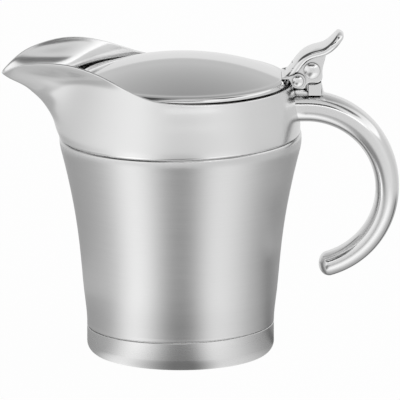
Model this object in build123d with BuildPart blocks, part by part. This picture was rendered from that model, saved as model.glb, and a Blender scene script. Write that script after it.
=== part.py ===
from build123d import *
from math import cos, cosh, degrees, hypot, pi, radians, sin, sqrt, tanh
import os

# Insulated gravy boat with a hinged lid, in millimetres.
# The origin is the centre of the foot on the table. +Z is up, the spout points to -X and the
# handle to +X. The body is a double wall: a brushed shell and base cap outside, a liner inside.

# Sheet and fits
sheet = 0.8              # shell, cap and liner sheet
fit = 0.05               # play between sheets that are welded face to face
edge_soft = 0.35         # small rounding on sheet edges
hem = 2 * sheet          # the shell's top edge is folded double

# Outer shell and base cap
base_radius = 43.95      # upright band at the bottom
band_lean = 0.03         # sideways share of the wall's direction at its foot
shoulder_radius = 56.85  # widest place, just under the seam
seam_height = 104.5      # joint line between shell and collar, on the axis
shoulder_drop = 2.0      # the shell stops widening this far under the seam
ring_tilt = 1.2          # both joint lines run down towards the spout, degrees
cap_joint = 14.2         # joint line between shell and base cap, on the axis
joint_gap = 0.4          # open groove at that joint
band_above = 1.6         # the band stays upright this far above the joint
foot_corner = 5.5        # rounded lower corner
hem_round = 0.96         # rounding of the shell's top edge
spigot_reach = 5.0       # the cap's spigot inside the shell, and the collar's too
shell_flare = [(0.0, 0.0), (0.14, 0.094), (0.36, 0.236), (0.58, 0.423),
               (0.80, 0.709), (0.93, 0.919), (1.0, 1.0)]  # share of height, share of widening

# Inner liner
air_gap = 4.2            # insulating space in the side wall
liner_floor = 8.5        # underside of the liner
liner_corner = 9.0
liner_rim = 3.0          # upright rim above the seam, welded inside the collar
liner_neck = 1.0         # the rim starts this far under the seam

# Spout collar
collar_wall = 1.0
rim_height = 26.0        # rim above the seam, beside the lid
spout_reach = 84.0       # tip of the spout from the axis
seam_gap = 0.12          # fine line between shell and collar
seam_step = 0.75         # the shell stands out this far past the collar
rim_radius = 52.6
collar_profile = [(-0.135, 1.0, 0.014, 27), (0, 1.0, 0.036, 26), (0.115, 1.1, 0.079, 24),
                  (0.288, 1.057, 0.129, 20), (0.481, 0.857, 0.222, 17), (0.654, 0.6, 0.341, 15),
                  (0.823, 0.357, 0.509, 13.5), (0.942, 0.143, 0.67, 12.5), (1.046, 0, 0.871, 12),
                  (1.165, -0.029, 1.018, 12.5), (1.288, 0.114, 1.065, 15), (1.423, 0.343, 1.079, 20),
                  (1.635, 0.629, 1.09, 23.5)]
# Each ring of the collar: its share of the rim's height, its share of the way from the rim's
# radius to the seam's, its share of the way from the seam's radius to the spout's tip, and the
# half angle of its bulge in degrees
rim_profile = [(-5.4, -1.3), (0.6, 4.2), (8.6, 9.7), (18, 12.7), (28, 13.9), (36.8, 13.1),
               (46.2, 10.5), (55.6, 6.8), (65, 3.1), (75, 0.9), (86, 0.1), (104, -0.4),
               (144, -0.3)]  # distance behind the spout's tip, height over the level rim
ring_points = 40
ring_crowding = 0.55     # gathers the ring's points at the spout

# Lid
lid_x = 1.2              # the lid stands a little towards the hinge
lid_play = 0.6           # between the lid's lip and the collar at the hinge
border_width = 3.8       # flat border round the dome
dome_rise = 8.7
lid_sheet = 0.9
lid_above_rim = 2.7      # border above the collar's rim
border_fall = 0.6
lip_depth = 2.9
lip_bend = 2.2           # outside bend between border and lip

# Hinge
pivot_out = 9.0          # outside the collar's rim
pivot_height = 32.7      # above the seam
tongue_half = 4.7
cheek_inner = 5.0
cheek_thick = 4.45
pin_radius = 1.6
pin_play = 0.06
pin_head_radius = 3.7
pin_head_rise = 1.5
head_gap = 0.15
rivet_back = 6.6         # rivet in front of the pivot
rivet_drop = 4.8
rivet_radius = 1.4
rivet_head_radius = 2.5
rivet_head_rise = 1.1
ear_radius = 3.5
ear_thick = 1.3
base_inset = 0.3         # the bracket's base stays inside the lid's border by this much
head_edge = 0.45         # upright edge of the pin heads

# Thumb lever
lever_half = 9.5
lever_thick = 3.6
lever_round = 1.1        # rounding of the long edges
lever_tip_round = 7.0
lever_lobe = 0.6         # the cheeks' front lobes are smaller than the bracket's ears
under_steps = 8          # stretches of the underside's curve
lever_path = [(-13.6, -4.2), (-10.4, -0.8), (-7.5, 3.2), (-4.1, 6.8), (1.0, 9.25),
              (5.1, 10.4), (8.1, 12.4), (10.4, 14.8), (12.7, 17.7)]  # top line from the pivot

cheek_foot = 9.0         # the cheeks' front foot under the pivot, which stops on the handle's pad
cheek_outline = [(-9.3, 1.2), (-8.6, -2.4), (-6.6, -7.4), (-5.4, -cheek_foot), (-3.0, -cheek_foot),
                 (-2.0, -5.9), (3.6, -5.9), (4.6, -4.9), (4.9, -1.2), (5.8, 4.0), (6.4, 8.6), (1.0, 7.6),
                 (-3.0, 5.4), (-6.2, 1.6)]  # from the pivot

# Handle
root_height = 13.75      # middle of the handle's root above the seam
loop_out = 6.4           # centre of the finger loop outside the collar's rim
loop_radius = 32.6       # inside of the loop
grip_thick = 10.7        # thickness at the end of the loop
grip_drift = 2.9         # the grip is thicker by this much at the top
grip_half = 10.0         # half width at the top
grip_half_end = 8.3
grip_end = -73.8         # degrees round the loop, 0 at the back and 90 at the top
grip_steps = 11
cap_length = 4.6         # rounded end beyond the grip
cap_lean = 84.0          # degrees of its quarter round that are followed
cap_steps = 6
squareness = 2.7         # 2 is an ellipse
oval_points = 24
root_inside = 2.6        # the root starts this far inside the rim's radius, within the collar's wall
root_steps = 5
root_widening = 1.2      # growth of the root's half width over that reach
root_heightening = 0.5   # growth of its half height
tongue_outline = [(-2.2, 0.25), (-2.2, 12.25), (-4.2, pivot_height - root_height),
                  (4.2, pivot_height - root_height), (4.4, 12.25), (5.4, 6.25), (8, 0.25)]
# The hinge tongue, from under the pivot and from the middle of the root
tongue_round = 4.2
ledge_half = 8.3         # under the lever's cheeks the tongue widens to this
ledge_hollow = 7.15      # radius of the hollow over that ledge, clear of the turning cheeks
ledge_from = -1.6        # the ledge's ends along X, its top and its foot, from the pivot
ledge_to = 4.4
ledge_top = -5.0
ledge_foot = -12.3
pad_gap = 0.4
pad_top = pivot_height - root_height - cheek_foot - pad_gap
pad_outline = [(-12, 0.25), (-12, pad_top), (-2, pad_top), (2, 6.25), (6, 0.25)]
pad_half = 8.0

rim_z = seam_height + rim_height
seam_plane = Plane(origin=(0, 0, seam_height), x_dir=(cos(radians(ring_tilt)), 0, sin(radians(ring_tilt))),
                   z_dir=(-sin(radians(ring_tilt)), 0, cos(radians(ring_tilt))))
cap_plane = Plane(origin=(0, 0, cap_joint), x_dir=seam_plane.x_dir, z_dir=seam_plane.z_dir)
seam_radius = shoulder_radius - seam_step
lid_radius = rim_radius - collar_wall - lid_play - lid_x
dome_radius = lid_radius - border_width
pivot_x = rim_radius + pivot_out
pivot_z = seam_height + pivot_height
root_z = seam_height + root_height
loop_x = rim_radius + loop_out
loop_height = root_z - loop_radius - (grip_thick + grip_drift) / 2
root_depth = loop_x - rim_radius + root_inside
crest_rise = max(rise for behind, rise in rim_profile)
os.makedirs("parts", exist_ok=True)


def wall_points(inset, first, last):
    """Points (radius, height) of the flared wall, from one share of its height to another."""
    bottom = cap_joint + band_above
    height = seam_height - shoulder_drop - bottom
    widening = shoulder_radius - base_radius
    return [(base_radius - inset + widening * share, bottom + height * level)
            for level, share in shell_flare if first <= level <= last]


# Outer shell: flared wall with a doubled hem at its top, cut along the two tilted joint lines
with BuildPart() as outer_shell:
    with BuildSketch(Plane.XZ):
        with BuildLine():
            outside = wall_points(0, 0, 1)
            inside = wall_points(sheet, 0, 1)
            low = cap_joint - spigot_reach
            high = seam_height + spigot_reach
            skin = Spline(outside, tangents=[(band_lean, 1), (0, 1)])
            Line(skin @ 1, (shoulder_radius, high))
            Line((shoulder_radius, high), (shoulder_radius - hem, high))
            Line((shoulder_radius - hem, high), (shoulder_radius - hem, inside[-1][1]))
            Line((shoulder_radius - hem, inside[-1][1]), inside[-1])
            Spline(inside, tangents=[(band_lean, 1), (0, 1)])
            Line(inside[0], (base_radius - sheet, low))
            Line((base_radius - sheet, low), (base_radius, low))
            Line((base_radius, low), skin @ 0)
        make_face()
    revolve(axis=Axis.Z)
    split(bisect_by=seam_plane, keep=Keep.BOTTOM)
    split(bisect_by=cap_plane.offset(joint_gap / 2), keep=Keep.TOP)
    fillet(outer_shell.faces().sort_by(Axis.Z)[-1].outer_wire().edges(), hem_round)
    fillet(outer_shell.faces().sort_by(Axis.Z)[0].outer_wire().edges(), edge_soft)
outer_shell.part.label = "outer_shell"
export_step(outer_shell.part, "parts/outer_shell.step")

# Base cap: flat foot, rounded corner and upright band, with a spigot up inside the shell
with BuildPart() as base_cap:
    with BuildSketch(Plane.XZ):
        with BuildLine():
            top = cap_joint + spigot_reach
            Polyline((0, 0), (base_radius, 0), (base_radius, top), (base_radius - sheet, top),
                     (base_radius - sheet, sheet), (0, sheet), close=True)
        make_face()
        fillet(vertices().sort_by(Axis.Y)[:2].sort_by(Axis.X)[-1], foot_corner)
        fillet(vertices().filter_by_position(Axis.Y, sheet / 2, 2 * sheet).sort_by(Axis.X)[-1],
               foot_corner - sheet)
    revolve(axis=Axis.Z)
    split(bisect_by=cap_plane.offset(-joint_gap / 2), keep=Keep.BOTTOM)
    fillet(base_cap.faces().sort_by(Axis.Z)[-1].outer_wire().edges(), edge_soft)
    with BuildSketch(Plane.XY.offset(cap_joint - spigot_reach)):
        Circle(base_radius - sheet - fit)
        Circle(base_radius - 2 * sheet - fit, mode=Mode.SUBTRACT)
    extrude(amount=2 * spigot_reach)
    with BuildSketch(Plane.XY.offset(cap_joint - spigot_reach)):
        Circle(base_radius - sheet + fit)
        Circle(base_radius - 2 * sheet - fit, mode=Mode.SUBTRACT)
    extrude(amount=spigot_reach / 2)
base_cap.part.label = "base_cap"
export_step(base_cap.part, "parts/base_cap.step")

# Inner liner: drawn cup that follows the shell at the air gap and flares out to the collar
collar_spigot = shoulder_radius - hem - fit
liner_top_radius = collar_spigot - sheet - fit
with BuildPart() as inner_liner:
    with BuildSketch(Plane.XZ):
        with BuildLine():
            side = base_radius - sheet - air_gap
            neck = seam_height - liner_neck
            rim = seam_height + liner_rim
            outer_side = wall_points(sheet + air_gap, 0.14, 0.93)
            inner_side = wall_points(2 * sheet + air_gap, 0.14, 0.93)
            Line((0, liner_floor), (side - liner_corner, liner_floor))
            corner = RadiusArc((side - liner_corner, liner_floor), (side, liner_floor + liner_corner),
                               -liner_corner)
            flared = Spline([corner @ 1] + outer_side + [(liner_top_radius, neck)],
                            tangents=[(0, 1), (0, 1)])
            Polyline(flared @ 1, (liner_top_radius, rim), (liner_top_radius - sheet, rim),
                     (liner_top_radius - sheet, neck))
            floor_point = (side - sheet, liner_floor + liner_corner)
            Spline([floor_point] + inner_side + [(liner_top_radius - sheet, neck)],
                   tangents=[(0, 1), (0, 1)])
            RadiusArc((side - liner_corner, liner_floor + sheet), floor_point, -(liner_corner - sheet))
            Line((side - liner_corner, liner_floor + sheet), (0, liner_floor + sheet))
            Line((0, liner_floor + sheet), (0, liner_floor))
        make_face()
    revolve(axis=Axis.Z)
inner_liner.part.label = "inner_liner"
export_step(inner_liner.part, "parts/inner_liner.step")

# Spout collar: level rings, each a circle with a bell-shaped bulge towards the spout
collar_rings = [(rim_height * level, rim_radius + (seam_radius - rim_radius) * width,
                 seam_radius + (spout_reach - seam_radius) * reach, spread)
                for level, width, reach, spread in collar_profile]


def ring_edge(radius, reach, spread, inset):
    """Closed smooth outline of one collar ring, moved inwards by inset."""
    points = []
    for step in range(ring_points):
        turn = 2 * pi * step / ring_points - pi
        angle = turn - ring_crowding * sin(turn)
        share = angle / radians(spread)
        bulge = (reach - radius) / cosh(share) ** 2
        slope = -2 * bulge * tanh(share) / radians(spread)
        out = radius + bulge
        away = (-cos(angle), sin(angle))
        across = (sin(angle), cos(angle))
        length = hypot(out, slope)
        normal = [(out * a - slope * b) / length for a, b in zip(away, across)]
        points.append((out * away[0] - inset * normal[0], out * away[1] - inset * normal[1], 0))
    return Edge.make_spline(points, periodic=True, parameters=list(range(ring_points + 1)))


with BuildPart() as collar_form:
    for rise, radius, reach, spread in collar_rings:
        with BuildSketch(Plane.XY.offset(seam_height + rise)):
            with BuildLine():
                add(ring_edge(radius, reach, spread, 0))
            make_face()
    loft()

with BuildPart() as collar_hollow:
    for rise, radius, reach, spread in collar_rings:
        with BuildSketch(Plane.XY.offset(seam_height + rise + collar_wall)):
            with BuildLine():
                add(ring_edge(radius, reach, spread, collar_wall))
            make_face()
    loft()
    with BuildSketch(Plane.XY.offset(seam_height + collar_rings[0][0] - collar_wall)):
        Circle(seam_radius - collar_wall)
    extrude(amount=3 * collar_wall)

with BuildPart() as spout_collar:
    add(collar_form.part)
    add(collar_hollow.part, mode=Mode.SUBTRACT)
    with BuildSketch(Plane.XZ):
        with BuildLine():
            rim_line = Spline([(behind - spout_reach, rim_z + rise) for behind, rise in rim_profile])
            front = ((rim_line @ 0).X - spout_reach, (rim_line @ 0).Y)
            above = rim_z + 2 * crest_rise
            Polyline(rim_line @ 0, front, (front[0], above), ((rim_line @ 1).X, above), rim_line @ 1)
        make_face()
    extrude(amount=2 * spout_reach, both=True, mode=Mode.SUBTRACT)
    with BuildSketch(Plane.XY.offset(seam_height - spigot_reach / 2)):
        Circle(seam_radius - collar_wall / 2)
        Circle(collar_spigot - sheet, mode=Mode.SUBTRACT)
    extrude(amount=spigot_reach)
    split(bisect_by=seam_plane.offset(seam_gap), keep=Keep.TOP)
    with BuildSketch(Plane.XY.offset(seam_height - spigot_reach)):
        Circle(collar_spigot)
        Circle(collar_spigot - sheet, mode=Mode.SUBTRACT)
    extrude(amount=spigot_reach + liner_rim / 2)
spout_collar.part.label = "spout_collar"
export_step(spout_collar.part, "parts/spout_collar.step")

# Lid: shallow dome, flat border and a lip turned down inside the collar's rim
lid_axis = Axis((lid_x, 0, 0), (0, 0, 1))
border_z = rim_z + lid_above_rim
with BuildPart() as lid:
    with BuildSketch(Plane.XZ):
        with BuildLine():
            crown = border_z + dome_rise
            half_dome = dome_radius / 2
            dome_curve = (dome_radius ** 2 + dome_rise ** 2) / (2 * dome_rise)
            mid_z = crown - dome_curve + sqrt(dome_curve ** 2 - half_dome ** 2)
            Polyline((lid_x, crown - lid_sheet), (lid_x, crown))
            ThreePointArc((lid_x, crown), (lid_x + half_dome, mid_z), (lid_x + dome_radius, border_z))
            rim_in = lid_x + lid_radius - lid_sheet
            rim_out = lid_x + lid_radius
            Polyline((lid_x + dome_radius, border_z), (rim_out, border_z - border_fall),
                     (rim_out, border_z - lip_depth), (rim_in, border_z - lip_depth),
                     (rim_in, border_z - border_fall - lid_sheet),
                     (lid_x + dome_radius, border_z - lid_sheet))
            ThreePointArc((lid_x + dome_radius, border_z - lid_sheet),
                          (lid_x + half_dome, mid_z - lid_sheet), (lid_x, crown - lid_sheet))
        make_face()
        fillet(vertices().sort_by(Axis.X)[-2:].sort_by(Axis.Y)[-1], lip_bend)
        fillet(vertices().filter_by_position(Axis.X, rim_in - fit, rim_in + fit).sort_by(Axis.Y)[-1],
               lip_bend - lid_sheet)
    revolve(axis=lid_axis)
lid.part.label = "lid"
export_step(lid.part, "parts/lid.step")

# Hinge: the lid bracket's base lies on the lid's border and its ears reach back to the rivet
rivet_x = pivot_x - rivet_back
rivet_z = pivot_z - rivet_drop
foot_z = border_z + sheet
base_from = lid_x + dome_radius + base_inset
base_to = lid_x + lid_radius - base_inset
ear_inner = lever_half + fit
ear_outer = ear_inner + ear_thick
with BuildPart() as lid_bracket:
    with BuildSketch(Plane.XZ):
        with Locations((rivet_x, rivet_z)):
            Circle(ear_radius)
        with BuildLine():
            Polyline((base_from, border_z), (base_to, border_z), (rivet_x, rivet_z - ear_radius),
                     (rivet_x, rivet_z + ear_radius), (base_from, foot_z), close=True)
        make_face()
    extrude(amount=ear_outer, both=True)
    with BuildSketch(Plane.XZ):
        with BuildLine():
            Polyline((base_from - sheet, foot_z), (base_to, foot_z), (base_to, rivet_z - 2 * ear_radius),
                     (rivet_x + 2 * ear_radius, rivet_z - 2 * ear_radius),
                     (rivet_x + 2 * ear_radius, rivet_z + 2 * ear_radius),
                     (base_from - sheet, rivet_z + 2 * ear_radius), close=True)
        make_face()
    extrude(amount=ear_inner, both=True, mode=Mode.SUBTRACT)
    with Locations(Location((rivet_x, 0, rivet_z), (90, 0, 0))):
        Cylinder(rivet_radius, 4 * ear_outer, mode=Mode.SUBTRACT)
lid_bracket.part.label = "lid_bracket"
export_step(lid_bracket.part, "parts/lid_bracket.step")

# Thumb lever: S-shaped plate with a rounded tip over two cheeks
with BuildPart() as thumb_lever:
    with BuildSketch(Plane.XZ):
        with BuildLine():
            top_line = Spline([(pivot_x + dx, pivot_z + dz) for dx, dz in lever_path])
            under = []
            for step in range(under_steps + 1):
                place = top_line @ (step / under_steps)
                along = (top_line % (step / under_steps)).normalized()
                under.append((place.X + along.Y * lever_thick, place.Y - along.X * lever_thick))
            under_line = Spline(under)
            Line(top_line @ 0, under_line @ 0)
            Line(top_line @ 1, under_line @ 1)
        make_face()
    extrude(amount=lever_half, both=True)
    tip_face = thumb_lever.faces().filter_by(GeomType.PLANE).sort_by(Axis.X)[-1]
    tip_sides = tip_face.edges().filter_by(lambda e: abs(e.tangent_at(0).Y) < 0.5)
    fillet(tip_sides, lever_tip_round)
    split(bisect_by=Plane.XY.offset(foot_z), keep=Keep.TOP)
    long_edges = thumb_lever.edges().filter_by(lambda e: e.length > 15 and abs(e.tangent_at(0.5).Y) < 0.5)
    fillet(long_edges, lever_round)
    for side in (1, -1):
        with BuildSketch(Plane.XZ.offset(side * cheek_inner)):
            with Locations((rivet_x, rivet_z)):
                Circle(ear_radius - lever_lobe)
            with BuildLine():
                Polyline([(pivot_x + dx, pivot_z + dz) for dx, dz in cheek_outline], close=True)
            make_face()
        extrude(amount=side * cheek_thick)
    with Locations(Location((pivot_x, 0, pivot_z), (90, 0, 0))):
        Cylinder(pin_radius + pin_play, 4 * lever_half, mode=Mode.SUBTRACT)
    with Locations(Location((rivet_x, 0, rivet_z), (90, 0, 0))):
        Cylinder(rivet_radius, 4 * lever_half, mode=Mode.SUBTRACT)
thumb_lever.part.label = "thumb_lever"
export_step(thumb_lever.part, "parts/thumb_lever.step")


def headed_pin(x, z, radius, half_length, head_radius, head_rise):
    """Outline of half a pin along Y with a domed head at each end, on a plane through its axis."""
    edge = half_length + head_edge
    end = half_length + head_rise
    dome = head_rise - head_edge
    dome_curve = (head_radius ** 2 + dome ** 2) / (2 * dome)
    middle = (end - dome_curve + sqrt(dome_curve ** 2 - head_radius ** 2 / 4), head_radius / 2)
    with BuildSketch(Plane(origin=(x, 0, z), x_dir=(0, 1, 0), z_dir=(1, 0, 0))) as outline:
        with BuildLine():
            ThreePointArc((-end, 0), (-middle[0], middle[1]), (-edge, head_radius))
            Polyline((-edge, head_radius), (-half_length, head_radius), (-half_length, radius),
                     (half_length, radius), (half_length, head_radius), (edge, head_radius))
            ThreePointArc((edge, head_radius), middle, (end, 0))
            Line((end, 0), (-end, 0))
        make_face()
    return outline.sketch


with BuildPart() as hinge_pin:
    add(headed_pin(pivot_x, pivot_z, pin_radius, cheek_inner + cheek_thick + head_gap, pin_head_radius,
                   pin_head_rise))
    revolve(axis=Axis((pivot_x, 0, pivot_z), (0, 1, 0)))
hinge_pin.part.label = "hinge_pin"
export_step(hinge_pin.part, "parts/hinge_pin.step")

with BuildPart() as lever_rivet:
    add(headed_pin(rivet_x, rivet_z, rivet_radius, ear_outer, rivet_head_radius, rivet_head_rise))
    revolve(axis=Axis((rivet_x, 0, rivet_z), (0, 1, 0)))
lever_rivet.part.label = "lever_rivet"
export_step(lever_rivet.part, "parts/lever_rivet.step")


def grip_size(turn):
    """Middle and half thickness of the grip, at an angle round the finger loop."""
    thick = grip_thick + grip_drift * (0.5 + sin(radians(turn)) / 2) ** 3
    return loop_radius + thick / 2, thick / 2


def grip_width(turn):
    """Half width of the grip, tapering towards its end."""
    share = (90 - turn) / (90 - grip_end)
    return grip_half + (grip_half_end - grip_half) * share


def grip_plane(turn):
    """Plane across the grip: its X is away from the loop's centre, its Z towards the grip's end."""
    middle = grip_size(turn)[0]
    away = (cos(radians(turn)), 0, sin(radians(turn)))
    return Plane(origin=(loop_x + middle * away[0], 0, loop_height + middle * away[2]),
                 x_dir=away, z_dir=(away[2], 0, -away[0]))


def oval_edge(half_thick, half_width):
    """Rounded oval outline of the grip."""
    points = []
    for step in range(oval_points):
        turn = 2 * pi * step / oval_points
        size = (abs(cos(turn)) ** squareness + abs(sin(turn)) ** squareness) ** (-1 / squareness)
        points.append((half_thick * size * cos(turn), half_width * size * sin(turn), 0))
    return Edge.make_spline(points, periodic=True, parameters=list(range(oval_points + 1)))


# Handle: one casting, from its flared root on the collar round the open loop to its rounded end
top_half = grip_size(90)[1]
with BuildPart() as handle:
    for step in range(root_steps + 1):
        share = 1 - step / root_steps
        with BuildSketch(Plane(origin=(loop_x - root_depth * share, 0, root_z), x_dir=(0, 0, 1),
                               z_dir=(1, 0, 0))):
            with BuildLine():
                add(oval_edge(top_half + root_heightening * share ** 2,
                              grip_half + root_widening * share ** 2))
            make_face()
    loft()
    for step in range(grip_steps + 1):
        turn = 90 + (grip_end - 90) * step / grip_steps
        with BuildSketch(grip_plane(turn)):
            with BuildLine():
                add(oval_edge(grip_size(turn)[1], grip_width(turn)))
            make_face()
    loft()
    for step in range(cap_steps + 1):
        lean = radians(cap_lean * step / cap_steps)
        with BuildSketch(grip_plane(grip_end - degrees(cap_length * sin(lean) / grip_size(grip_end)[0]))):
            with BuildLine():
                add(oval_edge(grip_size(grip_end)[1] * cos(lean), grip_width(grip_end) * cos(lean)))
            make_face()
    loft()
    with BuildSketch(Plane.XZ):
        with BuildLine():
            Polyline([(pivot_x + dx, root_z + dz) for dx, dz in tongue_outline], close=True)
        make_face()
        with Locations((pivot_x, pivot_z)):
            Circle(tongue_round)
    extrude(amount=tongue_half, both=True)
    with BuildSketch(Plane.XZ):
        with BuildLine():
            Polyline((pivot_x + ledge_from, pivot_z + ledge_foot), (pivot_x + ledge_to, pivot_z + ledge_foot),
                     (pivot_x + ledge_to, pivot_z + ledge_top), (pivot_x + ledge_from, pivot_z + ledge_top),
                     close=True)
        make_face()
        with Locations((pivot_x, pivot_z)):
            Circle(ledge_hollow, mode=Mode.SUBTRACT)
    extrude(amount=ledge_half, both=True)
    with BuildSketch(Plane.XZ):
        with BuildLine():
            Polyline([(pivot_x + dx, root_z + dz) for dx, dz in pad_outline], close=True)
        make_face()
    extrude(amount=pad_half, both=True)
    add(collar_form.part, mode=Mode.SUBTRACT)
    with Locations(Location((pivot_x, 0, pivot_z), (90, 0, 0))):
        Cylinder(pin_radius, 4 * tongue_half, mode=Mode.SUBTRACT)
handle.part.label = "handle"
export_step(handle.part, "parts/handle.step")
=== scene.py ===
from math import cos, pi, radians, sin, sqrt, tan

import bmesh
import bpy
import numpy as np
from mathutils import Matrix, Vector


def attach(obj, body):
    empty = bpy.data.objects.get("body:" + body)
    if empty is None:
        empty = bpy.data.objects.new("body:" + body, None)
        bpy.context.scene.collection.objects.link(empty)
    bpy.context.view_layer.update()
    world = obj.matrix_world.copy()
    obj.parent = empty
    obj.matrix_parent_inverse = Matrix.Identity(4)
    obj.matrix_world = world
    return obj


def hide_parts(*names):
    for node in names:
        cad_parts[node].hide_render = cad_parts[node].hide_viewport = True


# Insulated gravy boat with a hinged lid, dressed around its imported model. Blender's metres, +Z up.
# The spout points to -X, the handle to +X, and the camera looks along +Y.
# Sizes of the pieces below are in millimetres, and mm turns them into metres.

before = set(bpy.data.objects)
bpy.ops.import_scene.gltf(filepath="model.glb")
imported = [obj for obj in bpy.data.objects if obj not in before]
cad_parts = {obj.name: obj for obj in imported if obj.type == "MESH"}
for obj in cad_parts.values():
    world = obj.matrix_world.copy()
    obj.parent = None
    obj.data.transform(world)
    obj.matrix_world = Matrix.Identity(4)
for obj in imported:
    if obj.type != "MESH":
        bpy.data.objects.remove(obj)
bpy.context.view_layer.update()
mm = 0.001

# Photograph and camera
image_px = 400
metres_per_px = 0.00047          # at the body's axis
axis_column = 180.5              # the body's axis, in the photograph
foot_row = 351                   # the foot's centre on the table
camera_rise = radians(13)
camera_distance = 7.0
sensor = 0.036

# Studio
floor_size = 16.0
floor_white = 0.86
floor_glow = 0.975               # share of plain white that the camera sees on the floor
floor_rough = 0.9
near_floor = 0.25                # the floor's near zone, as the metal sees it, ends about here
far_floor = 0.40
contact_radii = (0.045, 0.13)    # painted contact shadow: round the foot the floor's glow to the metal is dimmer
contact_shade = 0.78

# Finishes, in metres where they are lengths
grain_radius = 0.05
fine_grain = (0.018, 0.00035)    # size along the brushing and across it
coarse_grain = (0.06, 0.004)
fine_share = 0.65
coarse_share = 0.35
rough_less = 0.05                # the brushed steel's roughness goes this far down and up
rough_more = 0.07
brush_bump = (0.10, 0.00006)     # strength and depth
polish_bump = (0.03, 0.00002)
cloud_scale = 28.0
hair_scale = 900.0
polish_share = 0.35              # what polishing leaves of the brushed steel's roughness
# Painted shade in crevices: the colour of cast and pin steel is darkened in tight corners
crevice_samples = 8
crevice_open = (0.45, 0.95)      # openness of a corner at which the painted shade is full, and is gone
crevice_shade_grey = 0.06

# Collar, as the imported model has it, but a little slimmer just above the seam
seam_height = 104.5
seam_tilt = tan(radians(1.2))
seam_gap = 0.35
seam_radius = 56.1
rim_radius = 52.6
rim_height = 26.0
rim_z = seam_height + rim_height
spout_reach = 84.0
collar_wall = 1.0
collar_spigot = 55.2
spigot_wall = 0.8
spigot_reach = 5.0
spigot_top = 1.5
edge_round = 0.25
edge_share = 0.3
spigot_step = 0.02
# Share of the rim's height, share of the way from the rim's radius to the seam's, share of the way
# from the seam's radius to the spout's tip, half angle of the bulge in degrees
collar_profile = [(-0.135, 1.0, 0.014, 27), (0, 1.0, 0.036, 26), (0.115, 1.04, 0.079, 24),
                  (0.288, 1.02, 0.129, 20), (0.481, 0.857, 0.222, 17), (0.654, 0.6, 0.341, 15),
                  (0.823, 0.357, 0.509, 13.5), (0.942, 0.143, 0.67, 12.5), (1.046, 0, 0.871, 12),
                  (1.165, -0.029, 1.018, 12.5), (1.288, 0.114, 1.065, 15), (1.423, 0.343, 1.079, 20),
                  (1.635, 0.629, 1.09, 23.5)]
# Distance behind the spout's tip, height over the level rim
rim_profile = [(-5.4, -1.3), (0.6, 4.2), (8.6, 9.7), (18, 12.7), (28, 13.9), (36.8, 13.1),
               (46.2, 10.5), (55.6, 6.8), (65, 3.1), (75, 0.9), (86, 0.1), (104, -0.4), (144, -0.3)]
collar_columns = 320
collar_rows = 56
crowding = 0.55                  # gathers the columns at the spout
rim_steps = 8
halvings = 40

corner_angle = 60                # corners of the flat pieces sharper than this are softened
bevel_steps = 4

hem_polish = 1.6                 # the shell's folded top edge is polished this far down
polish_blend = 0.5

# Lid
lid_x = 1.2
lid_radius = 49.8
dome_radius = 46.0
dome_rise = 8.7
lid_sheet = 0.9
border_z = rim_z + 2.7
lip_depth = 2.9
crease_round = 0.5
border_drop = 0.1
roll_power = 0.8                 # how full the border's roll is
lip_chamfer = 0.15
dome_centre = 0.05               # radius of the dome's innermost ring
dome_rings = 60
roll_steps = 24
lathe_steps = 256

# Hinge and lever
pivot_x = 61.6
pivot_z = 137.2
rivet_x = pivot_x - 6.6
rivet_z = pivot_z - 4.8
lever_half = 9.5
lever_thick = 3.6
lever_round = 1.7
corner_steps = 6
lever_rows = 90
tip_round = 7.0
tip_half = 1.0
tip_thinning = 0.9
bracket_sheet = 0.8
lever_foot = border_z + bracket_sheet
lever_path = [(-12.9, -3.3), (-10.4, -0.8), (-7.5, 3.2), (-4.1, 6.8), (1.0, 9.25), (5.1, 10.4),
              (8.1, 12.4), (10.4, 14.8), (12.7, 17.7)]
cheek_outline = [(-9.2, 1.0), (-9.3, -3.0), (-9.2, -5.8), (-8.1, -8.0), (-6.0, -8.9), (-3.4, -8.6),
                 (-2.4, -6.9), (-0.6, -6.0), (3.2, -5.9), (4.5, -4.8), (4.9, -1.2), (5.8, 4.0),
                 (6.2, 8.4), (1.0, 7.4), (-3.0, 5.2), (-6.4, 1.4)]
cheek_points = 120
cheek_inner = 5.0
cheek_outer = 8.9
cheek_round = 0.55
ear_radius = 3.5
ear_inner = 9.55
ear_outer = 10.85
ear_sweep = 125                  # the ear's round runs this many degrees up and down from +X
ear_steps = 32
ear_round = 0.25
strip_round = 0.2
base_from = 47.5
base_to = 50.7
tongue_outline = [(-3.0, -18.6), (-2.4, -10.0), (-3.3, -4.6), (-4.2, -0.6), (-3.5, 2.3), (0, 4.2),
                  (3.5, 2.3), (4.2, -0.6), (4.2, -6.0), (5.6, -12.6), (8.6, -18.6)]
tongue_half = 4.7
tongue_round = 0.6
shoulder_half = 8.3              # the tongue widens to this under the lever's cheeks
shoulder_radius = 7.15           # hollow over it, round the hinge's axis
shoulder_from = -1.6
shoulder_to = 4.4
shoulder_foot = -12.3
shoulder_round = 0.4
hollow_steps = 16
stop_outline = [(-12.0, -18.8), (-12.0, -11.4), (-9.0, -9.6), (-4.0, -9.6), (0.0, -10.8), (6.0, -18.8)]
stop_half = 5.4
stop_round = 2.2

# Handle
root_z = 118.25
loop_x = 59.0
loop_radius = 32.6
grip_thick = 10.7
grip_drift = 2.9
grip_half = 10.0
grip_half_end = 8.3
grip_end = -73.8
loop_height = root_z - loop_radius - (grip_thick + grip_drift) / 2
root_depth = 9.0
root_widening = 1.2
root_heightening = 0.5
root_sink = 0.5                  # the root starts this deep in the collar's wall
flare_limit = 1.1
settlings = 12
squareness = 2.7
cap_length = 4.6
cap_closing = 0.98               # the grip's end stops this near to closed
handle_columns = 72
grip_rows = 120
root_rows = 14
cap_rows = 12


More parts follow.
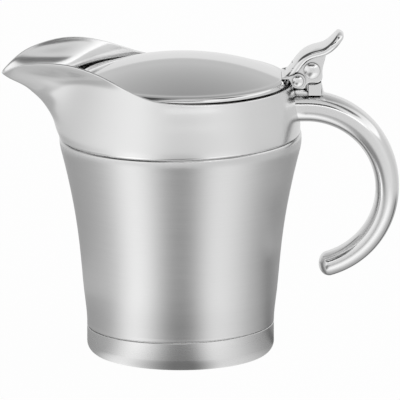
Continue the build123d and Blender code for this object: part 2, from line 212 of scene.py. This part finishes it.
def smooth_curve(places, values):
    """Natural cubic spline through values at rising places, as a function of the place."""
    places = np.array(places, float)
    values = np.array(values, float)
    steps = np.diff(places)
    slopes = np.diff(values) / steps
    system = np.eye(len(places))
    right = np.zeros(len(places))
    for row in range(1, len(places) - 1):
        system[row, row - 1:row + 2] = steps[row - 1], 2 * (steps[row - 1] + steps[row]), steps[row]
        right[row] = 6 * (slopes[row] - slopes[row - 1])
    bends = np.linalg.solve(system, right)

    def value_at(place):
        index = np.clip(np.searchsorted(places, place) - 1, 0, len(steps) - 1)
        after = (place - places[index]) / steps[index]
        before = 1 - after
        bow = ((before ** 3 - before) * bends[index] + (after ** 3 - after) * bends[index + 1])
        return before * values[index] + after * values[index + 1] + bow * steps[index] ** 2 / 6

    return value_at


def smooth_path(points, count):
    """Points along a smooth path through the given ones, and how far along it each lies."""
    points = np.array(points, float)
    travel = np.concatenate([[0], np.cumsum(np.hypot(*np.diff(points, axis=0).T))])
    along = np.linspace(0, travel[-1], count)
    return np.stack([smooth_curve(travel, points[:, axis])(along) for axis in (0, 1)], 1), along


def closed_outline(points, count):
    """Points of a smooth closed outline through the given ones."""
    lap = 4
    around = points[-lap:] + points + points[:lap + 1]
    path = np.array(around, float)
    travel = np.concatenate([[0], np.cumsum(np.hypot(*np.diff(path, axis=0).T))])
    along = np.linspace(travel[lap], travel[lap + len(points)], count, endpoint=False)
    return np.stack([smooth_curve(travel, path[:, axis])(along) for axis in (0, 1)], 1)


def add_piece(name, points, faces, material, body, replaced=(), sharp_angle=40):
    """Mesh piece from points in millimetres, riding on a body."""
    mesh = bpy.data.meshes.new(name)
    mesh.from_pydata([tuple(float(place) * mm for place in point) for point in points], [], faces)
    editing = bmesh.new()
    editing.from_mesh(mesh)
    bmesh.ops.recalc_face_normals(editing, faces=editing.faces)
    editing.to_mesh(mesh)
    editing.free()
    mesh.materials.append(material)
    mesh.shade_smooth()
    mesh.set_sharp_from_angle(angle=radians(sharp_angle))
    piece = bpy.data.objects.new(name, mesh)
    bpy.context.scene.collection.objects.link(piece)
    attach(piece, body)
    if replaced:
        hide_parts(*replaced)
    return piece


def ring_faces(rows, columns, loop):
    """Faces over rings of points. The last ring meets the first in a loop, or both ends are capped."""
    faces = []
    for row in range(rows if loop else rows - 1):
        this = row * columns
        above = (row + 1) % rows * columns
        for column in range(columns):
            beside = (column + 1) % columns
            faces.append((this + column, this + beside, above + beside, above + column))
    if not loop:
        faces.append(tuple(range(columns)))
        faces.append(tuple(range((rows - 1) * columns, rows * columns)))
    return faces


def prism(name, outline, near, far, soften, material, body, replaced=()):
    """Flat piece between two Y places, its outline in X and Z, with softened edges."""
    count = len(outline)
    points = [(x, near, z) for x, z in outline] + [(x, far, z) for x, z in outline]
    faces = [(i, (i + 1) % count, count + (i + 1) % count, count + i) for i in range(count)]
    faces += [tuple(range(count)), tuple(range(count, 2 * count))]
    piece = add_piece(name, points, faces, material, body, replaced, corner_angle)
    bevel = piece.modifiers.new("soften", "BEVEL")
    bevel.width = soften * mm
    bevel.segments = bevel_steps
    bevel.limit_method = "ANGLE"
    bevel.angle_limit = radians(corner_angle)
    bevel.harden_normals = True
    return piece


def new_material(name):
    """Empty node material with a Principled shader on its output."""
    material = bpy.data.materials.new(name)
    material.use_nodes = True
    tree = material.node_tree
    tree.nodes.clear()
    output = tree.nodes.new("ShaderNodeOutputMaterial")
    shader = tree.nodes.new("ShaderNodeBsdfPrincipled")
    tree.links.new(shader.outputs["BSDF"], output.inputs["Surface"])
    return material, tree, shader


def math_node(tree, operation, first, second=None, third=None):
    """Math node whose inputs are numbers or other nodes' outputs."""
    node = tree.nodes.new("ShaderNodeMath")
    node.operation = operation
    for index, value in enumerate((first, second, third)):
        if value is None:
            continue
        if isinstance(value, (int, float)):
            node.inputs[index].default_value = value
        else:
            tree.links.new(value, node.inputs[index])
    return node.outputs[0]


def turn_ramp(tree, share, stops, interpolation="EASE"):
    """Colour ramp round the object through grey stops: degrees from the camera, positive towards +X,
    and level."""
    node = tree.nodes.new("ShaderNodeValToRGB")
    node.color_ramp.interpolation = interpolation
    elements = node.color_ramp.elements
    while len(elements) < len(stops):
        elements.new(0.5)
    for element, (degrees, level) in zip(elements, stops):
        element.position = 0.5 + degrees / 360
        element.color = (level, level, level, 1)
    tree.links.new(share, node.inputs["Fac"])
    return node.outputs["Color"]


def noise_node(tree, vector, scale, detail, roughness=0.5):
    """Noise texture on the given coordinates."""
    node = tree.nodes.new("ShaderNodeTexNoise")
    node.inputs["Scale"].default_value = scale
    node.inputs["Detail"].default_value = detail
    node.inputs["Roughness"].default_value = roughness
    tree.links.new(vector, node.inputs["Vector"])
    return node.outputs["Fac"]


def map_range(tree, value, from_low, from_high, to_low, to_high, interpolation="LINEAR"):
    """Takes a value from one range to another, without leaving it."""
    node = tree.nodes.new("ShaderNodeMapRange")
    node.interpolation_type = interpolation
    tree.links.new(value, node.inputs["Value"])
    node.inputs["From Min"].default_value = from_low
    node.inputs["From Max"].default_value = from_high
    node.inputs["To Min"].default_value = to_low
    node.inputs["To Max"].default_value = to_high
    return node.outputs["Result"]


def float_mix(tree, factor, first, second):
    """Blend of two levels."""
    node = tree.nodes.new("ShaderNodeMix")
    node.data_type = "FLOAT"
    for name, value in (("Factor", factor), ("A", first), ("B", second)):
        if isinstance(value, (int, float)):
            node.inputs[name].default_value = value
        else:
            tree.links.new(value, node.inputs[name])
    return node.outputs["Result"]


def grey_mix(tree, factor, dark, light):
    """Colour between two greys."""
    node = tree.nodes.new("ShaderNodeMix")
    node.data_type = "RGBA"
    tree.links.new(factor, node.inputs["Factor"])
    node.inputs["A"].default_value = (dark, dark, dark, 1)
    node.inputs["B"].default_value = (light, light, light, 1)
    return node.outputs["Result"]


def bump_node(tree, height, strength, distance):
    """Bump from a height, with its strength and depth."""
    node = tree.nodes.new("ShaderNodeBump")
    node.inputs["Strength"].default_value = strength
    node.inputs["Distance"].default_value = distance
    tree.links.new(height, node.inputs["Height"])
    return node.outputs["Normal"]


def object_position(tree):
    """The point's place in the object's own frame, which is the part's frame."""
    return tree.nodes.new("ShaderNodeTexCoord").outputs["Object"]


def round_grain(tree, along, across):
    """Coordinates that stretch a pattern round the Z axis: its size along and across, in metres."""
    split = tree.nodes.new("ShaderNodeSeparateXYZ")
    tree.links.new(object_position(tree), split.inputs[0])
    turn = math_node(tree, "ARCTAN2", split.outputs["Y"], split.outputs["X"])
    join = tree.nodes.new("ShaderNodeCombineXYZ")
    tree.links.new(math_node(tree, "MULTIPLY", turn, grain_radius / along), join.inputs["X"])
    tree.links.new(math_node(tree, "MULTIPLY", split.outputs["Z"], 1 / across), join.inputs["Z"])
    return join.outputs[0]


def brushed_steel(name, dark, light, roughness, anisotropy, polished_from=None):
    """Steel brushed round the body: fine rings, and highlights drawn out up and down. Above a height
    that runs with the tilted seam, if one is given, it is polished."""
    material, tree, shader = new_material(name)
    rings = noise_node(tree, round_grain(tree, *fine_grain), 1.0, 3.0, 0.65)
    bands = noise_node(tree, round_grain(tree, *coarse_grain), 1.0, 2.0)
    blend = math_node(tree, "ADD", math_node(tree, "MULTIPLY", rings, fine_share),
                      math_node(tree, "MULTIPLY", bands, coarse_share))
    tree.links.new(grey_mix(tree, blend, dark, light), shader.inputs["Base Color"])
    rough = map_range(tree, blend, 0, 1, roughness - rough_less, roughness + rough_more)
    if polished_from:
        split = tree.nodes.new("ShaderNodeSeparateXYZ")
        tree.links.new(object_position(tree), split.inputs[0])
        level = math_node(tree, "MULTIPLY_ADD", split.outputs["X"], -seam_tilt, split.outputs["Z"])
        smooth = map_range(tree, level, polished_from * mm, (polished_from + polish_blend) * mm,
                           1.0, polish_share)
        rough = math_node(tree, "MULTIPLY", rough, smooth)
    tree.links.new(rough, shader.inputs["Roughness"])
    tree.links.new(bump_node(tree, rings, *brush_bump), shader.inputs["Normal"])
    tangent = tree.nodes.new("ShaderNodeTangent")
    tangent.direction_type = "RADIAL"
    tangent.axis = "Z"
    tree.links.new(tangent.outputs["Tangent"], shader.inputs["Tangent"])
    shader.inputs["Metallic"].default_value = 1.0
    shader.inputs["Anisotropic"].default_value = anisotropy
    return material


def polished_steel(name, dark, light, roughness, spread, crevice=None):
    """Polished steel with faint cloudy wipe marks and fine hairlines in its polish. Where a crevice
    depth is given, its colour is darkened with painted shade in corners closer than that."""
    material, tree, shader = new_material(name)
    place = object_position(tree)
    clouds = noise_node(tree, place, cloud_scale, 3.0)
    hairs = noise_node(tree, place, hair_scale, 2.0)
    colour = grey_mix(tree, clouds, dark, light)
    # Painted shade: ambient occlusion darkens the colour to a dark grey in tight corners
    if crevice:
        corners = tree.nodes.new("ShaderNodeAmbientOcclusion")
        corners.samples = crevice_samples
        corners.inputs["Distance"].default_value = crevice * mm
        tree.links.new(colour, corners.inputs["Color"])
        open_share = map_range(tree, corners.outputs["AO"], *crevice_open, 0.0, 1.0)
        crevice_shade = tree.nodes.new("ShaderNodeMix")
        crevice_shade.data_type = "RGBA"
        tree.links.new(open_share, crevice_shade.inputs["Factor"])
        crevice_shade.inputs["A"].default_value = (crevice_shade_grey, crevice_shade_grey, crevice_shade_grey, 1)
        tree.links.new(colour, crevice_shade.inputs["B"])
        colour = crevice_shade.outputs["Result"]
    tree.links.new(colour, shader.inputs["Base Color"])
    rough = map_range(tree, clouds, 0, 1, roughness, roughness + spread)
    tree.links.new(rough, shader.inputs["Roughness"])
    tree.links.new(bump_node(tree, hairs, *polish_bump), shader.inputs["Normal"])
    shader.inputs["Metallic"].default_value = 1.0
    return material


# Darkest and lightest grey, roughness, and then anisotropy of the brushed ones or spread of the
# polished ones' roughness. Last, where the polish starts, or how deep the painted shade in crevices
# reaches. The collar's inner faces are satin_steel.
shell_steel = brushed_steel("shell_steel", 0.69, 0.79, 0.30, 0.80, seam_height - hem_polish)
cap_steel = brushed_steel("cap_steel", 0.69, 0.79, 0.27, 0.7)
liner_steel = brushed_steel("liner_steel", 0.60, 0.70, 0.34, 0.5)
collar_steel = polished_steel("collar_steel", 0.80, 0.84, 0.19, 0.05)
satin_steel = polished_steel("satin_steel", 0.82, 0.86, 0.17, 0.05)
lid_steel = polished_steel("lid_steel", 0.76, 0.80, 0.06, 0.03)
# cast_steel and pin_steel carry painted shade, a darkened colour in their crevices
cast_steel = polished_steel("cast_steel", 0.80, 0.84, 0.08, 0.05, 1.1)
handle_steel = polished_steel("handle_steel", 0.78, 0.82, 0.12, 0.05)
pin_steel = polished_steel("pin_steel", 0.80, 0.86, 0.17, 0.05, 0.8)

node_materials = {
    "outer_shell": shell_steel,
    "base_cap": cap_steel,
    "inner_liner": liner_steel,
    "spout_collar": collar_steel,
    "lid": lid_steel,
    "lid_bracket": cast_steel,
    "thumb_lever": cast_steel,
    "handle": cast_steel,
    "hinge_pin": pin_steel,
    "lever_rivet": pin_steel,
}
for node_name, material in node_materials.items():
    node_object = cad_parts[node_name]
    node_object.data.materials.clear()
    node_object.data.materials.append(material)

# Spout collar: a circle with a bell-shaped bulge towards the spout, changing with height
levels, widths, reaches, spreads = zip(*collar_profile)
collar_radius = smooth_curve(levels, [rim_radius + (seam_radius - rim_radius) * share for share in widths])
collar_reach = smooth_curve(levels, [seam_radius + (spout_reach - seam_radius) * share for share in reaches])
collar_spread = smooth_curve(levels, [radians(spread) for spread in spreads])
rim_rise = smooth_curve(*zip(*rim_profile))


def collar_point(angle, level):
    """Point of the collar's outer face, at an angle from the spout and a share of the rim's height."""
    radius = collar_radius(level)
    out = radius + (collar_reach(level) - radius) / np.cosh(angle / collar_spread(level)) ** 2
    return np.stack([-out * np.cos(angle), out * np.sin(angle), seam_height + rim_height * level], -1)


def collar_normal(angle, level):
    """Outward direction of the collar's face."""
    small = 0.0001
    across = collar_point(angle + small, level) - collar_point(angle - small, level)
    upward = collar_point(angle, level + small) - collar_point(angle, level - small)
    normal = np.cross(upward, across)
    return normal / np.linalg.norm(normal, axis=-1, keepdims=True)


def level_where(angle, height_at):
    """Level at which the collar's face meets a height that changes along X."""
    low = np.full_like(angle, levels[0])
    high = np.full_like(angle, levels[-1])
    for halving in range(halvings):
        middle = (low + high) / 2
        point = collar_point(angle, middle)
        above = point[:, 2] > height_at(point[:, 0])
        high = np.where(above, middle, high)
        low = np.where(above, low, middle)
    return (low + high) / 2


def circle_ring(angle, radius, height):
    """Ring of a plain circle, with the collar's columns."""
    return np.stack([-radius * np.cos(angle), radius * np.sin(angle), height + 0 * angle], -1)


def add_collar():
    """The collar's wall with a rounded rim, a softened lower edge and a spigot down into the shell."""
    turn = 2 * pi * np.arange(collar_columns) / collar_columns - pi
    angle = turn - crowding * np.sin(turn)
    half = collar_wall / 2
    bottom = level_where(angle, lambda x: seam_height + seam_gap + x * seam_tilt)
    top = level_where(angle, lambda x: rim_z + rim_rise(x + spout_reach) - half)
    normal = collar_normal(angle, bottom)
    foot = collar_point(angle, bottom)
    lift = edge_round / rim_height
    rings = [foot - collar_wall * normal, foot - edge_round * normal,
             foot - edge_share * edge_round * normal + (0, 0, edge_share * edge_round)]
    shares = np.linspace(0, 1, collar_rows)
    outer = [bottom + lift + (top - bottom - lift) * share for share in shares]
    rings += [collar_point(angle, level) for level in outer]
    rim_row = len(rings)
    rim = collar_point(angle, top)
    rim_normal = collar_normal(angle, top)
    rim_way = np.roll(rim, -1, 0) - np.roll(rim, 1, 0)
    upward = np.cross(rim_normal, rim_way)
    upward /= np.linalg.norm(upward, axis=-1, keepdims=True)
    upward *= np.where(upward[:, 2:] < 0, -1, 1)
    for step in range(1, rim_steps):
        lean = pi * step / rim_steps
        rings.append(rim - half * rim_normal + half * (rim_normal * cos(lean) + upward * sin(lean)))
    spigot_level = bottom + spigot_top / rim_height
    for share in shares[::-1]:
        level = spigot_level + (top - spigot_level) * share
        rings.append(collar_point(angle, level) - collar_wall * collar_normal(angle, level))
    inner_foot = rings[-1][:, 2]
    rings.append(circle_ring(angle, collar_spigot - spigot_wall, inner_foot))
    rings.append(circle_ring(angle, collar_spigot - spigot_wall, seam_height - spigot_reach))
    rings.append(circle_ring(angle, collar_spigot, seam_height - spigot_reach))
    rings.append(circle_ring(angle, collar_spigot, foot[:, 2] - spigot_step))
    collar = add_piece("collar_wall", np.concatenate(rings), ring_faces(len(rings), collar_columns, True),
                       collar_steel, "vessel", ["spout_collar"])
    collar.data.materials.append(satin_steel)
    inside_from = (rim_row + rim_steps - 1) * collar_columns
    for face in collar.data.polygons[inside_from:]:
        face.material_index = 1


def add_lid():
    """The lid's sheet: shallow dome, tight crease and a border that rolls down to its lip."""
    curve = (dome_radius ** 2 + dome_rise ** 2) / (2 * dome_rise)
    centre = border_z + dome_rise - curve
    roll_from = dome_radius + crease_round / 2
    roll_width = lid_radius - roll_from
    roll_height = lip_depth - border_drop
    outside = []
    for radius in np.linspace(dome_centre, dome_radius - crease_round, dome_rings):
        outside.append((radius, centre + sqrt(curve ** 2 - radius ** 2)))
    lip_z = border_z - lip_depth
    for step in range(1, roll_steps):
        lean = pi / 2 * step / roll_steps
        outside.append((roll_from + roll_width * sin(lean), lip_z + roll_height * cos(lean) ** roll_power))
    outside += [(lid_radius, lip_z + lip_chamfer), (lid_radius - lip_chamfer, lip_z)]
    inside = [(lid_radius - lid_sheet + lip_chamfer, lip_z), (lid_radius - lid_sheet, lip_z + lip_chamfer)]
    for step in range(roll_steps - 1, 0, -1):
        lean = pi / 2 * step / roll_steps
        inside.append((roll_from + (roll_width - lid_sheet) * sin(lean),
                       lip_z + (roll_height - lid_sheet) * cos(lean) ** roll_power))
    for radius in np.linspace(dome_radius - crease_round, dome_centre, dome_rings):
        inside.append((radius, centre + sqrt(curve ** 2 - radius ** 2) - lid_sheet))
    angle = 2 * pi * np.arange(lathe_steps) / lathe_steps
    rings = [circle_ring(angle, radius, height) + (lid_x, 0, 0) for radius, height in outside + inside]
    add_piece("lid_sheet", np.concatenate(rings), ring_faces(len(rings), lathe_steps, False),
              lid_steel, "lid_assembly", ["lid"])


def oval(half_thick, half_width):
    """Rounded oval of the grip: places along its thickness and its width."""
    turn = 2 * pi * np.arange(handle_columns) / handle_columns
    size = (np.abs(np.cos(turn)) ** squareness + np.abs(np.sin(turn)) ** squareness) ** (-1 / squareness)
    return half_thick * size * np.cos(turn), half_width * size * np.sin(turn)


def grip_ring(turn, inset):
    """Ring of the grip at an angle round the finger loop, with its size times inset."""
    thick = grip_thick + grip_drift * (0.5 + sin(turn) / 2) ** 3
    share = (pi / 2 - turn) / (pi / 2 - radians(grip_end))
    width = grip_half + (grip_half_end - grip_half) * share
    rise, side = oval(thick / 2 * inset, width * inset)
    out = loop_radius + thick / 2 + rise
    return np.stack([loop_x + out * cos(turn), side, loop_height + out * sin(turn)], -1)


def root_ring(share):
    """Ring of the handle's root, from the collar's wall at share 1 to the loop at share 0."""
    flare = np.full(handle_columns, share)
    half_thick = (grip_thick + grip_drift) / 2
    for settling in range(settlings):
        rise, side = oval(half_thick + root_heightening * flare ** 2,
                          grip_half + root_widening * flare ** 2)
        level = (root_z + rise - seam_height) / rim_height
        wall = collar_radius(level) - root_sink
        start = np.sqrt(np.maximum(wall ** 2 - side ** 2, 0))
        place = loop_x + (start - loop_x) * share
        flare = (flare + np.minimum((loop_x - place) / root_depth, flare_limit)) / 2
    return np.stack([place, side, root_z + rise], -1)


def add_handle():
    """One casting: flared root, open finger loop and rounded end, and on its root the hinge tongue with
    the shoulder and the pad in front of it."""
    rings = [root_ring(1 - step / root_rows) for step in range(root_rows)]
    end = radians(grip_end)
    for step in range(grip_rows + 1):
        rings.append(grip_ring(pi / 2 + (end - pi / 2) * step / grip_rows, 1))
    end_middle = loop_radius + grip_thick / 2
    for step in range(1, cap_rows + 1):
        lean = pi / 2 * cap_closing * step / cap_rows
        rings.append(grip_ring(end - cap_length * sin(lean) / end_middle, cos(lean)))
    add_piece("handle_grip", np.concatenate(rings), ring_faces(len(rings), handle_columns, False),
              handle_steel, "vessel", ["handle"])
    width = shoulder_to - shoulder_from
    hollow = [shoulder_from + width * step / hollow_steps for step in range(hollow_steps + 1)]
    shoulder = [(x, -sqrt(shoulder_radius ** 2 - x ** 2)) for x in hollow]
    shoulder += [(shoulder_to, shoulder_foot), (shoulder_from, shoulder_foot)]
    for name, points, half, soften in (("hinge_tongue", tongue_outline, tongue_half, tongue_round),
                                       ("tongue_shoulder", shoulder, shoulder_half, shoulder_round),
                                       ("lever_stop", stop_outline, stop_half, stop_round)):
        outline = [(pivot_x + x, pivot_z + z) for x, z in points]
        prism(name, outline, -half, half, soften, cast_steel, "vessel")


def rounded_section(half_width, half_thick, corner):
    """Rounded rectangle: places across the width and through the thickness."""
    corner = min(corner, half_width - 0.01, half_thick - 0.01)
    across = []
    through = []
    for quarter, (side, face) in enumerate(((1, 1), (-1, 1), (-1, -1), (1, -1))):
        for step in range(corner_steps + 1):
            turn = pi / 2 * (quarter + step / corner_steps)
            across.append(side * (half_width - corner) + corner * cos(turn))
            through.append(face * (half_thick - corner) + corner * sin(turn))
    return np.array(across), np.array(through)


def add_lever():
    """Thumb plate with a rounded tip, over two cheeks."""
    path, along = smooth_path(lever_path, lever_rows)
    slope = np.gradient(path, axis=0)
    slope /= np.linalg.norm(slope, axis=1, keepdims=True)
    rings = []
    half_thick = lever_thick / 2
    for (x, z), (run, climb), travelled in zip(path, slope, along):
        left = along[-1] - travelled
        corner = tip_round - sqrt(max(tip_round ** 2 - max(tip_round - left, 0) ** 2, 0))
        inset = lever_round - sqrt(max(lever_round ** 2 - max(lever_round - left, 0) ** 2, 0))
        across, through = rounded_section(max(lever_half - corner - inset, tip_half),
                                          half_thick - inset * tip_thinning, lever_round)
        deep = half_thick - through
        heights = np.maximum(pivot_z + z - run * deep, lever_foot)
        rings.append(np.stack([pivot_x + x + climb * deep, across, heights], -1))
    add_piece("lever_plate", np.concatenate(rings), ring_faces(len(rings), len(rings[0]), False),
              cast_steel, "lid_assembly", ["thumb_lever"])
    outline = closed_outline([(pivot_x + x, pivot_z + z) for x, z in cheek_outline], cheek_points)
    for name, side in (("near", -1), ("far", 1)):
        prism(name + "_cheek", outline, side * cheek_inner, side * cheek_outer, cheek_round, cast_steel,
              "lid_assembly")


def add_bracket():
    """The lid's bracket: a strip on the lid's border and two round ears on the rivet."""
    ear = []
    for step in range(ear_steps + 1):
        turn = radians(-ear_sweep + 2 * ear_sweep * step / ear_steps)
        ear.append((rivet_x + ear_radius * cos(turn), rivet_z + ear_radius * sin(turn)))
    strip_z = border_z + bracket_sheet
    ear += [(base_from, strip_z), (base_from, border_z), (base_to, border_z)]
    for name, side in (("near", -1), ("far", 1)):
        prism(name + "_ear", ear, side * ear_inner, side * ear_outer, ear_round, cast_steel, "lid_assembly",
              ["lid_bracket"] if side == -1 else ())
    strip = [(base_from, border_z), (base_to, border_z), (base_to, strip_z), (base_from, strip_z)]
    prism("bracket_strip", strip, -ear_inner, ear_inner, strip_round, cast_steel, "lid_assembly")


def turn_share(tree, across, forward):
    """Direction round the object as a ramp's place, from its X and Y."""
    turn = math_node(tree, "ARCTAN2", across, math_node(tree, "MULTIPLY", forward, -1.0))
    return math_node(tree, "MULTIPLY_ADD", turn, 0.5 / pi, 0.5)


# Soft light by direction round the object: a bright side, a dim gap by the camera, a second bright
# side, dim flanks and a lighter back. Low is the near floor, level is the far floor and horizon,
# and high is the tent's upper part. Each stop is degrees round the object from the camera and a level.
# On the floor these levels are painted into its glow to metal; low light's dip from 106 to 113 degrees is a
# painted shadow of the handle.
low_light = [(-180, 0.75), (-150, 0.44), (-105, 0.49), (-78, 0.56), (-44, 1.44), (-3, 0.28), (7, 0.28),
             (30, 1.20), (98, 0.46), (106, 0.15), (113, 0.15), (121, 0.46), (150, 0.48), (180, 0.75)]
level_light = [(-180, 0.85), (-133, 0.66), (-45, 1.02), (0, 0.76), (42, 0.86), (80, 0.74), (113, 0.70),
               (180, 0.85)]
high_light = [(-180, 0.62), (-154, 0.70), (-140, 0.22), (-105, 0.12), (-42, 0.12), (-28, 1.15), (22, 1.15),
              (90, 1.35), (125, 1.20), (145, 0.66), (180, 0.62)]
# A painted lighter ring on the floor under the spout's flank: where it lies round the object, and its radii
flank_share = [(-150, 0.0), (-130, 1.0), (-85, 1.0), (-60, 0.0)]
flank_radii = (0.115, 0.126, 0.165, 0.185)
flank_gain = 0.25
# Where the level light ends, as the sine of the height
level_top = [(-180, 0.24), (-140, 0.30), (-110, 0.47), (-36, 0.47), (-28, 0.36), (110, 0.36), (180, 0.24)]
top_edge = 0.05
# A bright strip in front, a dark gap over it and a dim panel high up beside the handle: where each
# lies round the object, and the sines between which it starts and ends
strip_share = [(-22, 0.0), (-8, 1.0), (30, 1.0), (50, 0.0)]
strip_heights = (0.27, 0.32, 0.38, 0.42)
strip_gain = 0.9
gap_share = [(-40, 0.0), (-30, 1.0), (20, 1.0), (30, 0.0)]
gap_heights = (0.40, 0.45, 0.60, 0.70)
gap_depth = 1.0
panel_share = [(50, 0.0), (60, 1.0), (90, 1.0), (100, 0.0)]
panel_heights = (0.66, 0.72, 1.1, 1.2)
panel_depth = 0.8
# Between these sines the tent dims to this share
top_from = 0.4
top_to = 0.85
top_level = 0.6


def soft_band(tree, value, rise_from, rise_to, fall_from, fall_to):
    """1 between two values and 0 outside them, with soft ends."""
    rise = map_range(tree, value, rise_from, rise_to, 0.0, 1.0, "SMOOTHSTEP")
    fall = map_range(tree, value, fall_from, fall_to, 1.0, 0.0, "SMOOTHSTEP")
    return math_node(tree, "MULTIPLY", rise, fall)


def add_floor():
    """Pale floor: white to the camera with the object's shadow. To metal it glows with the studio's low
    light painted in, a painted contact shadow round the foot, a painted shadow of the handle and a
    painted lighter ring.
    """
    bpy.ops.mesh.primitive_plane_add(size=floor_size, location=(0, 0, 0))
    floor = bpy.context.object
    floor.name = "floor"
    material, tree, shader = new_material("floor_white")
    shader.inputs["Base Color"].default_value = (floor_white, floor_white, floor_white, 1)
    shader.inputs["Roughness"].default_value = floor_rough
    split = tree.nodes.new("ShaderNodeSeparateXYZ")
    tree.links.new(object_position(tree), split.inputs[0])
    share = turn_share(tree, split.outputs["X"], split.outputs["Y"])
    length = tree.nodes.new("ShaderNodeVectorMath")
    length.operation = "LENGTH"
    tree.links.new(object_position(tree), length.inputs[0])
    distance = length.outputs["Value"]
    far = map_range(tree, distance, near_floor, far_floor, 0.0, 1.0, "SMOOTHSTEP")
    # painted contact shadow: the floor's glow to metal is dimmer round the foot
    contact = map_range(tree, distance, *contact_radii, contact_shade, 1.0, "SMOOTHSTEP")
    level = float_mix(tree, far, turn_ramp(tree, share, low_light), turn_ramp(tree, share, level_light))
    paths = tree.nodes.new("ShaderNodeLightPath")
    metal_glow = tree.nodes.new("ShaderNodeEmission")
    # painted lighter ring on the floor under the spout's flank
    ring = math_node(tree, "MULTIPLY", turn_ramp(tree, share, flank_share),
                     soft_band(tree, distance, *flank_radii))
    flank = math_node(tree, "MULTIPLY_ADD", ring, flank_gain, contact)
    tree.links.new(math_node(tree, "MULTIPLY", level, flank), metal_glow.inputs["Strength"])
    camera_glow = tree.nodes.new("ShaderNodeEmission")
    camera_glow.inputs["Strength"].default_value = 1.0
    camera_mix = tree.nodes.new("ShaderNodeMixShader")
    tree.links.new(math_node(tree, "MULTIPLY", paths.outputs["Is Camera Ray"], floor_glow),
                   camera_mix.inputs["Fac"])
    tree.links.new(shader.outputs["BSDF"], camera_mix.inputs[1])
    tree.links.new(camera_glow.outputs["Emission"], camera_mix.inputs[2])
    metal_mix = tree.nodes.new("ShaderNodeMixShader")
    tree.links.new(paths.outputs["Is Glossy Ray"], metal_mix.inputs["Fac"])
    tree.links.new(camera_mix.outputs["Shader"], metal_mix.inputs[1])
    tree.links.new(metal_glow.outputs["Emission"], metal_mix.inputs[2])
    output = next(node for node in tree.nodes if node.type == "OUTPUT_MATERIAL")
    tree.links.new(metal_mix.outputs["Shader"], output.inputs["Surface"])
    floor.data.materials.append(material)


def set_world():
    """White studio tent whose light changes with direction and height; the camera sees it white."""
    world = bpy.data.worlds.new("studio")
    bpy.context.scene.world = world
    world.use_nodes = True
    tree = world.node_tree
    tree.nodes.clear()
    split = tree.nodes.new("ShaderNodeSeparateXYZ")
    tree.links.new(tree.nodes.new("ShaderNodeTexCoord").outputs["Generated"], split.inputs[0])
    share = turn_share(tree, split.outputs["X"], split.outputs["Y"])
    height = split.outputs["Z"]
    above = math_node(tree, "SUBTRACT", height, turn_ramp(tree, share, level_top, "LINEAR"))
    high = map_range(tree, above, 0.0, top_edge, 0.0, 1.0, "SMOOTHSTEP")
    sides = float_mix(tree, high, turn_ramp(tree, share, level_light),
                      turn_ramp(tree, share, high_light))
    level = math_node(tree, "MULTIPLY", sides, map_range(tree, height, top_from, top_to, 1.0, top_level))
    for stops, heights, gain in ((strip_share, strip_heights, strip_gain),
                                 (gap_share, gap_heights, -gap_depth),
                                 (panel_share, panel_heights, -panel_depth)):
        band = math_node(tree, "MULTIPLY", turn_ramp(tree, share, stops), soft_band(tree, height, *heights))
        level = math_node(tree, "MULTIPLY", level, math_node(tree, "MULTIPLY_ADD", band, gain, 1.0))
    paths = tree.nodes.new("ShaderNodeLightPath")
    background = tree.nodes.new("ShaderNodeBackground")
    background.inputs["Color"].default_value = (1, 1, 1, 1)
    tree.links.new(float_mix(tree, paths.outputs["Is Camera Ray"], level, 1.0), background.inputs["Strength"])
    output = tree.nodes.new("ShaderNodeOutputWorld")
    tree.links.new(background.outputs[0], output.inputs["Surface"])


def add_camera():
    """Long lens at the photograph's height, with the body's axis and foot where it shows them."""
    middle = image_px / 2
    target = Vector(((middle - axis_column) * metres_per_px, 0,
                     (foot_row - middle) * metres_per_px / cos(camera_rise)))
    data = bpy.data.cameras.new("camera")
    data.sensor_width = sensor * 1000
    data.lens = sensor * 1000 * camera_distance / (image_px * metres_per_px)
    camera = bpy.data.objects.new("camera", data)
    bpy.context.scene.collection.objects.link(camera)
    back = Vector((0, -cos(camera_rise), sin(camera_rise)))
    camera.location = target + back * camera_distance
    camera.rotation_euler = (-back).to_track_quat("-Z", "Y").to_euler()
    bpy.context.scene.camera = camera


add_collar()
add_lid()
add_handle()
add_lever()
add_bracket()
add_floor()
set_world()
add_camera()
bpy.context.scene.view_settings.view_transform = "Standard"
